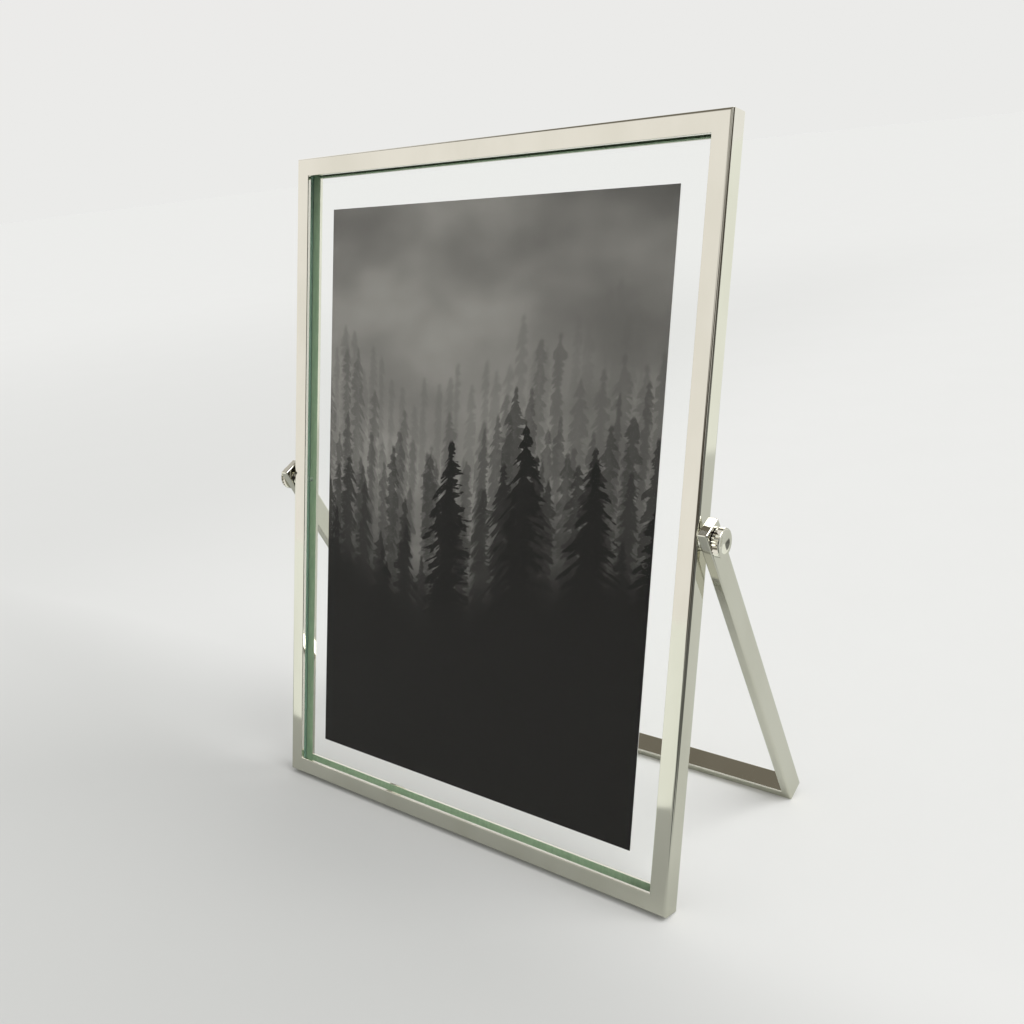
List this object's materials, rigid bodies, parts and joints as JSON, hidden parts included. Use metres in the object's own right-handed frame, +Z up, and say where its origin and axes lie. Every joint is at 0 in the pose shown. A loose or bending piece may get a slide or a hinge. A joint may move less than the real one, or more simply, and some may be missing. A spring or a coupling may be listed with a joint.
{
  "type": "tabletop floating picture frame",
  "caption": "Thin polished metal channel frame holding a print between clear glass panes, leaning on a U-shaped stand that pivots on side thumb screws.",
  "frame": {"origin": "bottom centre of the whole object's box, on the surface it stands on, with the stand open", "axes": "+Z up, front of the print faces -Y, +X to the right of someone looking at the print"},
  "size_m": [0.1684, 0.0766, 0.2031],
  "materials": {
    "polished_nickel": "mirror-polished warm nickel plate",
    "clear_glass": "clear float glass with green edges",
    "photo_paper": "black-and-white photographic print, semi-gloss",
    "black_nylon": "matt"
  },
  "bodies": {
    "frame": {"frame_bottom_rail": "polished_nickel", "frame_top_rail": "polished_nickel", "frame_left_stile": "polished_nickel", "frame_right_stile": "polished_nickel", "left_threaded_insert": "polished_nickel", "right_threaded_insert": "polished_nickel", "left_friction_washer": "black_nylon", "right_friction_washer": "black_nylon"},
    "glass_pack": {"front_glass": "clear_glass", "print": "photo_paper", "back_glass": "clear_glass"},
    "stand": {"stand_left_arm": "polished_nickel", "stand_right_arm": "polished_nickel", "stand_foot_bar": "polished_nickel"},
    "left_screw": {"left_thumb_screw": "polished_nickel"},
    "right_screw": {"right_thumb_screw": "polished_nickel"}
  },
  "joints": [
    {"name": "stand_hinge", "type": "hinge", "parent": "frame", "child": "stand", "pos_m": [0, -0.01007, 0.10204], "axis": [1, 0, 0], "range_deg": [-38.2, 50]},
    {"name": "glass_slide", "type": "slide", "parent": "frame", "child": "glass_pack", "axis": [0, 0.2413, 0.9704], "range_m": [0, 0.2]},
    {"name": "left_screw_turn", "type": "hinge", "parent": "frame", "child": "left_screw", "pos_m": [0, -0.01007, 0.10204], "axis": [-1, 0, 0], "range_deg": [0, 360]},
    {"name": "right_screw_turn", "type": "hinge", "parent": "frame", "child": "right_screw", "pos_m": [0, -0.01007, 0.10204], "axis": [1, 0, 0], "range_deg": [0, 360]}
  ]
}
